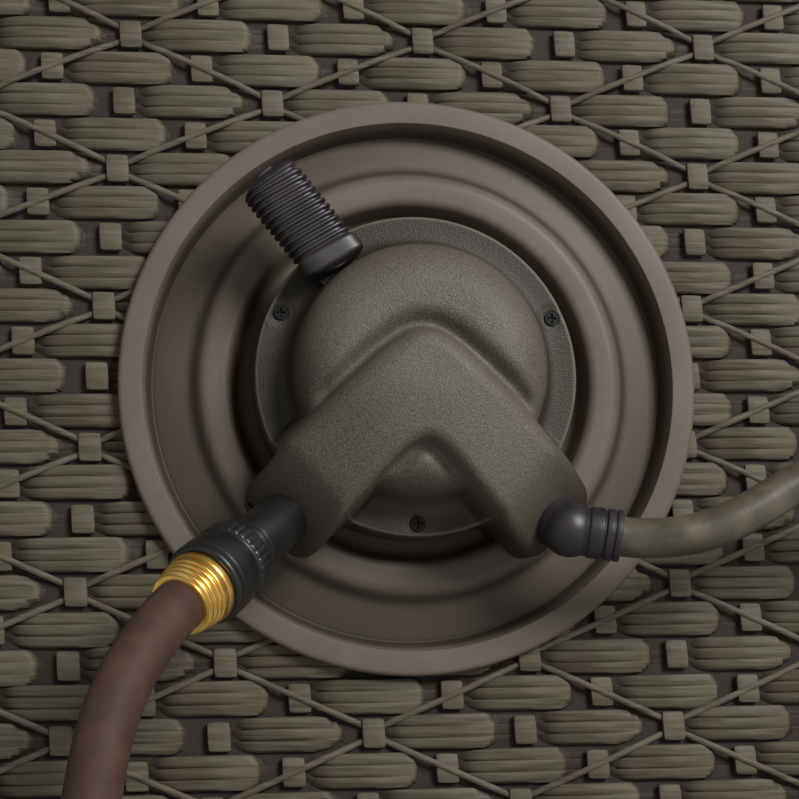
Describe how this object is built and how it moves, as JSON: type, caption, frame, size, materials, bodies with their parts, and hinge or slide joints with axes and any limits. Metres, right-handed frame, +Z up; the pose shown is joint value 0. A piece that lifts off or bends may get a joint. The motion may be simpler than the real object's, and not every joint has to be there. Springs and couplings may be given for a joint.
{
  "type": "hose reel",
  "caption": "Box-shaped garden hose reel with woven-look panels, a water-driven rewind motor on one wall, a valve lever, a supply hose, a drain hose and a hinged lid.",
  "frame": {"origin": "centre of the footprint of the reel without its hoses, on the ground", "axes": "+Z up, -Y out of the wall that carries the motor, +X towards the front panel with the hose window"},
  "size_m": [0.623, 1.0701, 0.5423],
  "materials": {
    "shell_plastic": "moulded resin, low sheen",
    "woven_resin": "woven-look moulded resin",
    "motor_resin": "fine stipple grain, low sheen",
    "black_gloss": "glossy moulded black",
    "black_matte": "moulded black",
    "inner_plastic": "moulded dark grey",
    "gear_plastic": "natural engineering plastic",
    "brass": "machined brass",
    "steel": "zinc plated steel",
    "seal_rubber": "matt rubber",
    "leader_rubber": "matt rubber hose",
    "drain_vinyl": "semi-gloss vinyl hose"
  },
  "bodies": {
    "box": {"base_tray": "shell_plastic", "rubber_feet": "seal_rubber", "corner_posts": "shell_plastic", "top_rail": "shell_plastic", "motor_side_panel": "woven_resin", "far_side_panel": "woven_resin", "rear_panel": "woven_resin", "front_panel": "woven_resin", "panel_screws": "steel", "hinge_pins": "steel", "motor_dish": "motor_resin", "dish_screws": "steel", "motor_cover": "motor_resin", "cover_screws": "black_matte", "water_manifold": "inner_plastic", "inlet_pipe": "black_gloss", "inlet_seal": "seal_rubber", "hose_washer": "seal_rubber", "outlet_elbow": "black_gloss", "outlet_seal": "seal_rubber", "motor_housing": "inner_plastic", "housing_lid": "inner_plastic", "housing_screws": "steel", "shaft_seal": "seal_rubber", "idler_pin": "steel", "water_axle": "brass", "axle_seals": "seal_rubber", "far_bearing": "inner_plastic", "guide_rods": "steel", "rod_brackets": "inner_plastic", "brass_fitting": "brass", "leader_hose": "leader_rubber", "leader_coil": "leader_rubber", "tap_coupling": "brass", "drain_hose": "drain_vinyl", "drain_coil": "drain_vinyl", "hose_tie": "black_matte"},
    "lid": {"lid": "shell_plastic", "lid_inlay": "woven_resin"},
    "lever": {"lever_arm": "black_gloss", "lever_grip": "black_gloss", "grip_screws": "steel", "valve_rotor": "gear_plastic", "valve_seals": "seal_rubber"},
    "nut": {"inlet_nut": "black_gloss"},
    "drum": {"drum_core": "inner_plastic", "near_flange": "inner_plastic", "far_flange": "inner_plastic", "drum_gear": "gear_plastic", "drum_screws": "steel", "drum_elbow": "brass", "near_bush": "brass", "far_axle": "steel"},
    "idler": {"idler_gear": "gear_plastic"},
    "impeller": {"impeller": "gear_plastic", "impeller_shaft": "steel", "impeller_pinion": "gear_plastic"},
    "guide": {"hose_guide": "black_matte"},
    "near_roller": {"near_roller": "gear_plastic"},
    "far_roller": {"far_roller": "gear_plastic"}
  },
  "joints": [
    {"name": "lid_hinge", "type": "hinge", "parent": "box", "child": "lid", "pos_m": [-0.281, 0.04125, 0.496], "axis": [0, -1, 0], "range_deg": [0, 100]},
    {"name": "lever_turn", "type": "hinge", "parent": "box", "child": "lever", "pos_m": [0, -0.27475, 0.282], "axis": [0, 1, 0], "range_deg": [0, 83]},
    {"name": "nut_turn", "type": "hinge", "parent": "box", "child": "nut", "pos_m": [-0.08404, -0.31674, 0.1946], "axis": [-0.5255, -0.7071, -0.4731], "continuous": true},
    {"name": "drum_spin", "type": "hinge", "parent": "box", "child": "drum", "pos_m": [0, 0.04125, 0.282], "axis": [0, 1, 0], "continuous": true},
    {"name": "idler_spin", "type": "hinge", "parent": "box", "child": "idler", "pos_m": [0, -0.19475, 0.207], "axis": [0, 1, 0], "continuous": true},
    {"name": "impeller_spin", "type": "hinge", "parent": "box", "child": "impeller", "pos_m": [0.05262, -0.21475, 0.23583], "axis": [0, 1, 0], "continuous": true},
    {"name": "guide_slide", "type": "slide", "parent": "box", "child": "guide", "axis": [0, 1, 0], "range_m": [-0.18, 0.18]},
    {"name": "near_roller_spin", "type": "hinge", "parent": "guide", "child": "near_roller", "pos_m": [0.221, 0.02125, 0.232], "axis": [0, 0, 1], "continuous": true},
    {"name": "far_roller_spin", "type": "hinge", "parent": "guide", "child": "far_roller", "pos_m": [0.221, 0.06125, 0.232], "axis": [0, 0, 1], "continuous": true}
  ],
  "couplings": [
    {"joint": "idler_spin", "follows": "drum_spin", "ratio": -4},
    {"joint": "impeller_spin", "follows": "drum_spin", "ratio": 12}
  ]
}
